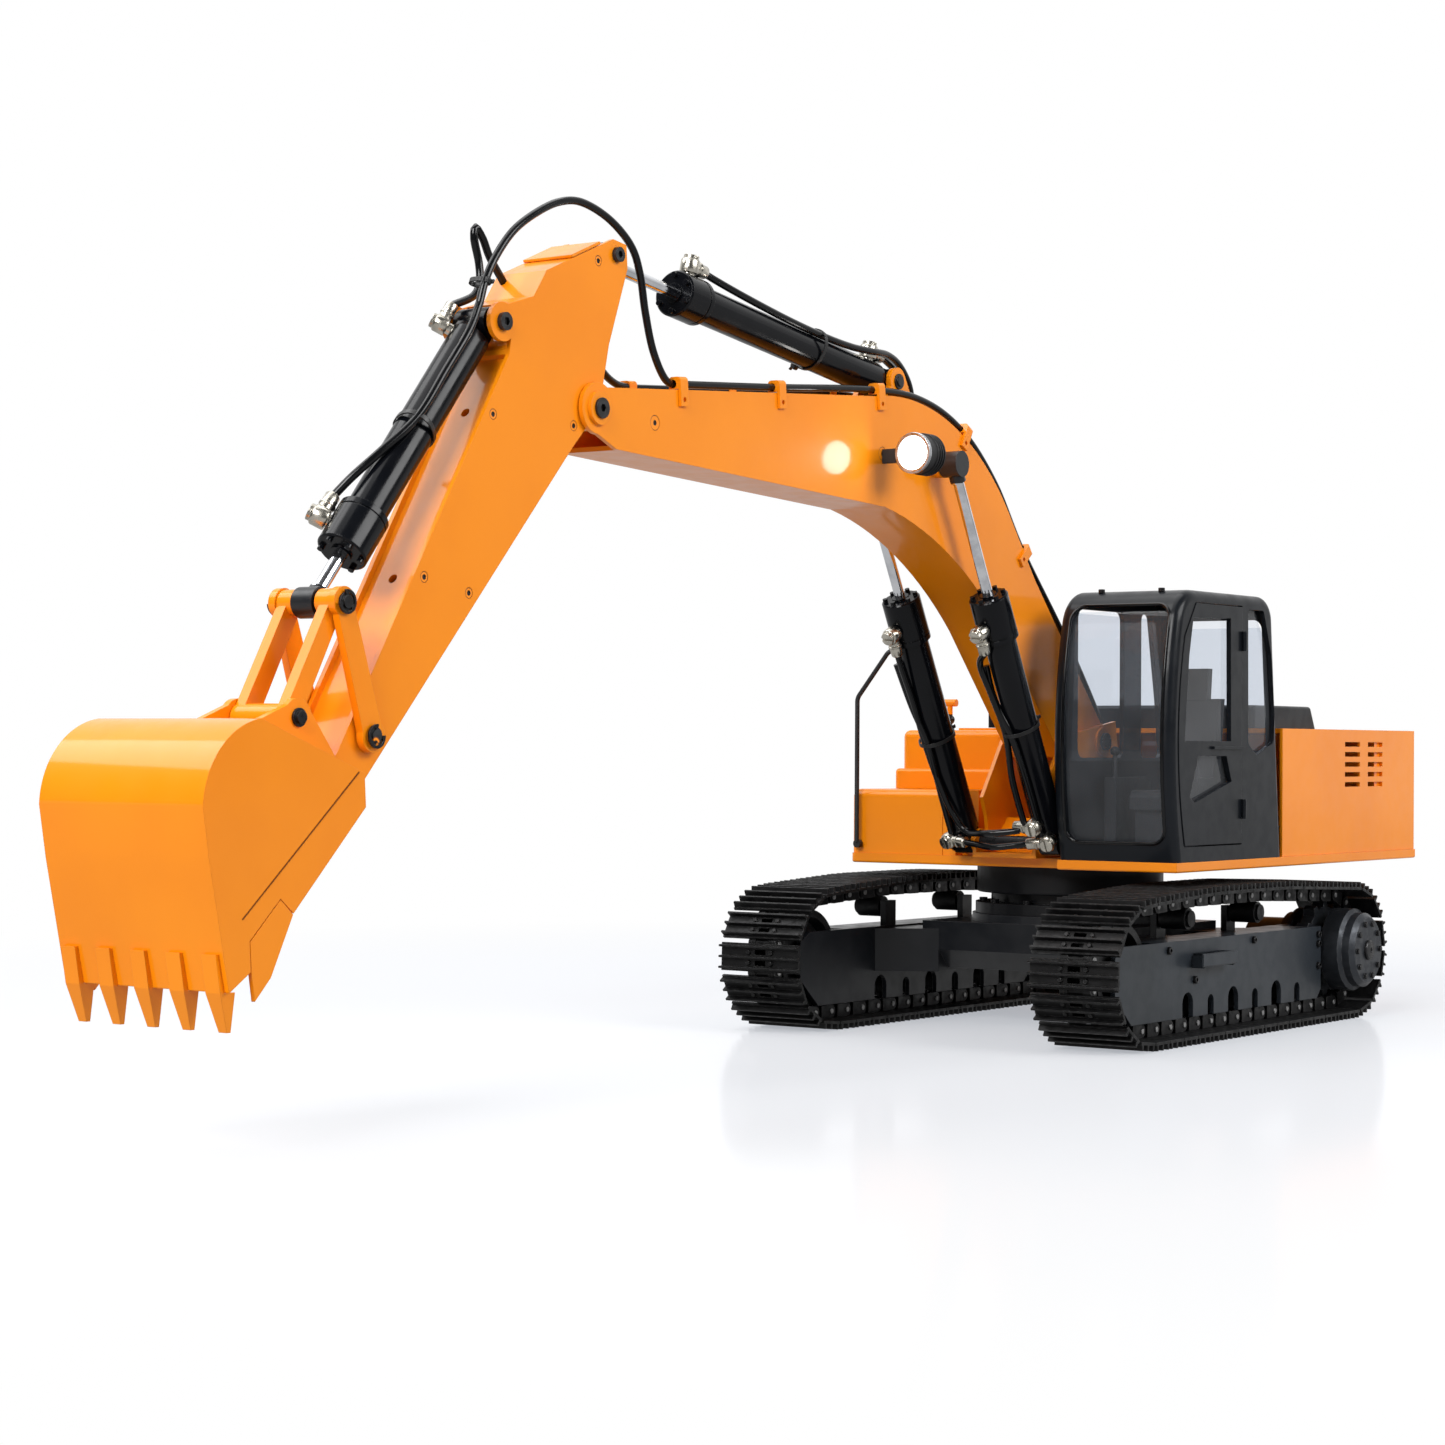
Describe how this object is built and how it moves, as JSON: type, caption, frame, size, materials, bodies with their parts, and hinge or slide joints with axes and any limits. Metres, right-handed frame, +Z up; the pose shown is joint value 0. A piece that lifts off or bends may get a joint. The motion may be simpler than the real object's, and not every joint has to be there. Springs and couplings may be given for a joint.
{
  "type": "rc excavator",
  "caption": "Scale radio-controlled tracked excavator with a turning house, cab, three-part digging arm worked by hydraulic cylinders, and a toothed bucket.",
  "frame": {"origin": "point on the ground under the swing axis, midway between the two tracks", "axes": "+X forward, the way the boom points; +Y to the cab side (left); +Z up; the ground is z = 0"},
  "size_m": [1.105, 0.284, 0.4275],
  "materials": {
    "orange_paint": "gloss orange enamel",
    "dark_paint": "satin blue-black paint",
    "frame_paint": "satin grey-blue paint",
    "track_steel": "blackened cast steel",
    "dark_steel": "blackened steel",
    "chrome": "polished chrome",
    "machined_alloy": "machined aluminium",
    "black_plastic": "matt black plastic",
    "battery_wrap": "heat-shrink plastic",
    "clear_plastic": "clear tinted acrylic",
    "lamp_lens": "frosted lens"
  },
  "bodies": {
    "undercarriage": {"x_frame": "frame_paint", "track_frames": "frame_paint", "track_shoes": "track_steel", "track_links": "track_steel", "travel_motors": "machined_alloy", "slew_base": "frame_paint", "track_rollers": "track_steel", "undercarriage_screws": "dark_steel"},
    "house": {"deck": "orange_paint", "slew_drum": "frame_paint", "boom_bracket": "orange_paint", "bracket_pins": "dark_steel", "side_panels": "orange_paint", "counterweight": "orange_paint", "top_plate": "orange_paint", "toolbox": "orange_paint", "oil_tank": "orange_paint", "battery": "battery_wrap", "hydraulic_pump": "machined_alloy", "valve_block": "machined_alloy", "receiver_box": "black_plastic", "swing_motor": "machined_alloy", "mirror_rail": "black_plastic", "cab_shell": "dark_paint", "cab_glass": "clear_plastic", "cab_seat": "black_plastic"},
    "engine_cover": {"engine_cover": "dark_paint"},
    "cab_door": {"cab_door": "dark_paint", "door_glass": "clear_plastic"},
    "boom": {"boom": "orange_paint", "boom_pins": "dark_steel", "hose_clamps": "orange_paint", "lamp_housing": "machined_alloy", "lamp_lens": "lamp_lens"},
    "arm": {"arm": "orange_paint", "arm_pins": "dark_steel"},
    "bucket": {"bucket": "orange_paint", "bucket_teeth": "orange_paint", "side_cutters": "orange_paint", "bucket_pins": "dark_steel"},
    "bucket_levers": {"bucket_levers": "orange_paint", "lever_pins": "dark_steel"},
    "bucket_link": {"bucket_link": "orange_paint"},
    "left_boom_cylinder_barrel": {"left_boom_cylinder_barrel": "dark_paint"},
    "left_boom_cylinder_rod": {"left_boom_cylinder_rod": "chrome"},
    "right_boom_cylinder_barrel": {"right_boom_cylinder_barrel": "dark_paint"},
    "right_boom_cylinder_rod": {"right_boom_cylinder_rod": "chrome"},
    "arm_cylinder_barrel": {"arm_cylinder_barrel": "dark_paint"},
    "arm_cylinder_rod": {"arm_cylinder_rod": "chrome"},
    "bucket_cylinder_barrel": {"bucket_cylinder_barrel": "dark_paint"},
    "bucket_cylinder_rod": {"bucket_cylinder_rod": "chrome"},
    "left_sprocket": {"left_sprocket": "track_steel"},
    "left_idler": {"left_idler": "track_steel"},
    "left_front_carrier_roller": {"left_front_carrier_roller": "track_steel"},
    "left_rear_carrier_roller": {"left_rear_carrier_roller": "track_steel"},
    "right_sprocket": {"right_sprocket": "track_steel"},
    "right_idler": {"right_idler": "track_steel"},
    "right_front_carrier_roller": {"right_front_carrier_roller": "track_steel"},
    "right_rear_carrier_roller": {"right_rear_carrier_roller": "track_steel"}
  },
  "joints": [
    {"name": "swing", "type": "hinge", "parent": "undercarriage", "child": "house", "pos_m": [0, 0, 0.1], "axis": [0, 0, 1], "continuous": true},
    {"name": "boom_hinge", "type": "hinge", "parent": "house", "child": "boom", "pos_m": [0, 0, 0.178], "axis": [0, -1, 0], "range_deg": [-30, 7]},
    {"name": "left_boom_cylinder_hinge", "type": "hinge", "parent": "house", "child": "left_boom_cylinder_barrel", "pos_m": [0.077, 0.0305, 0.1155], "axis": [0, -1, 0], "range_deg": [-30.38, 7.24]},
    {"name": "left_boom_cylinder_slide", "type": "slide", "parent": "left_boom_cylinder_barrel", "child": "left_boom_cylinder_rod", "axis": [0.4747, 0, 0.8802], "range_m": [-0.0512, 0.0121]},
    {"name": "right_boom_cylinder_hinge", "type": "hinge", "parent": "house", "child": "right_boom_cylinder_barrel", "pos_m": [0.077, -0.0305, 0.1155], "axis": [0, -1, 0], "range_deg": [-30.38, 7.24]},
    {"name": "right_boom_cylinder_slide", "type": "slide", "parent": "right_boom_cylinder_barrel", "child": "right_boom_cylinder_rod", "axis": [0.4747, 0, 0.8802], "range_m": [-0.0512, 0.0121]},
    {"name": "arm_hinge", "type": "hinge", "parent": "boom", "child": "arm", "pos_m": [0.518, 0, 0.341], "axis": [0, -1, 0], "range_deg": [-40, 30]},
    {"name": "arm_cylinder_hinge", "type": "hinge", "parent": "boom", "child": "arm_cylinder_barrel", "pos_m": [0.229, 0, 0.384], "axis": [0, -1, 0], "range_deg": [-0.2368, 0.249]},
    {"name": "arm_cylinder_slide", "type": "slide", "parent": "arm_cylinder_barrel", "child": "arm_cylinder_rod", "axis": [0.9913, 0, 0.1317], "range_m": [-0.04, 0.0532]},
    {"name": "bucket_hinge", "type": "hinge", "parent": "arm", "child": "bucket", "pos_m": [0.708, 0, 0.151], "axis": [0, -1, 0], "range_deg": [-60, 22]},
    {"name": "lever_hinge", "type": "hinge", "parent": "arm", "child": "bucket_levers", "pos_m": [0.684, 0, 0.177], "axis": [0, -1, 0], "range_deg": [-46.91, 17.33]},
    {"name": "link_hinge", "type": "hinge", "parent": "bucket_levers", "child": "bucket_link", "pos_m": [0.704, 0, 0.237], "axis": [0, -1, 0], "range_deg": [-10.27, 27.65]},
    {"name": "bucket_cylinder_hinge", "type": "hinge", "parent": "arm", "child": "bucket_cylinder_barrel", "pos_m": [0.589, 0, 0.376], "axis": [0, -1, 0], "range_deg": [-1.6, 4.02]},
    {"name": "bucket_cylinder_slide", "type": "slide", "parent": "bucket_cylinder_barrel", "child": "bucket_cylinder_rod", "axis": [0.6375, 0, -0.7705], "range_m": [-0.017, 0.0461]},
    {"name": "cab_door_hinge", "type": "hinge", "parent": "house", "child": "cab_door", "pos_m": [0.0032, 0.1226, 0.19], "axis": [0, 0, 1], "range_deg": [0, 100]},
    {"name": "engine_cover_hinge", "type": "hinge", "parent": "house", "child": "engine_cover", "pos_m": [-0.1585, 0, 0.1896], "axis": [0, -1, 0], "range_deg": [0, 75]},
    {"name": "left_sprocket_spin", "type": "hinge", "parent": "undercarriage", "child": "left_sprocket", "pos_m": [-0.141, 0.108, 0.04397], "axis": [0, 1, 0], "continuous": true},
    {"name": "left_idler_spin", "type": "hinge", "parent": "undercarriage", "child": "left_idler", "pos_m": [0.152, 0.108, 0.04397], "axis": [0, 1, 0], "continuous": true},
    {"name": "left_front_carrier_spin", "type": "hinge", "parent": "undercarriage", "child": "left_front_carrier_roller", "pos_m": [0.065, 0.108, 0.072], "axis": [0, 1, 0], "continuous": true},
    {"name": "left_rear_carrier_spin", "type": "hinge", "parent": "undercarriage", "child": "left_rear_carrier_roller", "pos_m": [-0.03, 0.108, 0.072], "axis": [0, 1, 0], "continuous": true},
    {"name": "right_sprocket_spin", "type": "hinge", "parent": "undercarriage", "child": "right_sprocket", "pos_m": [-0.141, -0.108, 0.04397], "axis": [0, 1, 0], "continuous": true},
    {"name": "right_idler_spin", "type": "hinge", "parent": "undercarriage", "child": "right_idler", "pos_m": [0.152, -0.108, 0.04397], "axis": [0, 1, 0], "continuous": true},
    {"name": "right_front_carrier_spin", "type": "hinge", "parent": "undercarriage", "child": "right_front_carrier_roller", "pos_m": [0.065, -0.108, 0.072], "axis": [0, 1, 0], "continuous": true},
    {"name": "right_rear_carrier_spin", "type": "hinge", "parent": "undercarriage", "child": "right_rear_carrier_roller", "pos_m": [-0.03, -0.108, 0.072], "axis": [0, 1, 0], "continuous": true}
  ],
  "couplings": [
    {"joint": "left_boom_cylinder_hinge", "follows": "boom_hinge", "ratio": 1.0061},
    {"joint": "left_boom_cylinder_slide", "follows": "boom_hinge", "m_per_rad": 0.097493},
    {"joint": "right_boom_cylinder_hinge", "follows": "boom_hinge", "ratio": 1.0061},
    {"joint": "right_boom_cylinder_slide", "follows": "boom_hinge", "m_per_rad": 0.097493},
    {"joint": "arm_cylinder_hinge", "follows": "arm_hinge", "ratio": -0.001226},
    {"joint": "arm_cylinder_slide", "follows": "arm_hinge", "m_per_rad": -0.075924},
    {"joint": "lever_hinge", "follows": "bucket_hinge", "ratio": 0.77844},
    {"joint": "link_hinge", "follows": "bucket_hinge", "ratio": -0.45758},
    {"joint": "bucket_cylinder_hinge", "follows": "bucket_hinge", "ratio": -0.063612},
    {"joint": "bucket_cylinder_slide", "follows": "bucket_hinge", "m_per_rad": -0.043837},
    {"joint": "left_idler_spin", "follows": "left_sprocket_spin", "ratio": 1},
    {"joint": "left_front_carrier_spin", "follows": "left_sprocket_spin", "ratio": 5.308},
    {"joint": "left_rear_carrier_spin", "follows": "left_sprocket_spin", "ratio": 5.308},
    {"joint": "right_idler_spin", "follows": "right_sprocket_spin", "ratio": 1},
    {"joint": "right_front_carrier_spin", "follows": "right_sprocket_spin", "ratio": 5.308},
    {"joint": "right_rear_carrier_spin", "follows": "right_sprocket_spin", "ratio": 5.308}
  ]
}
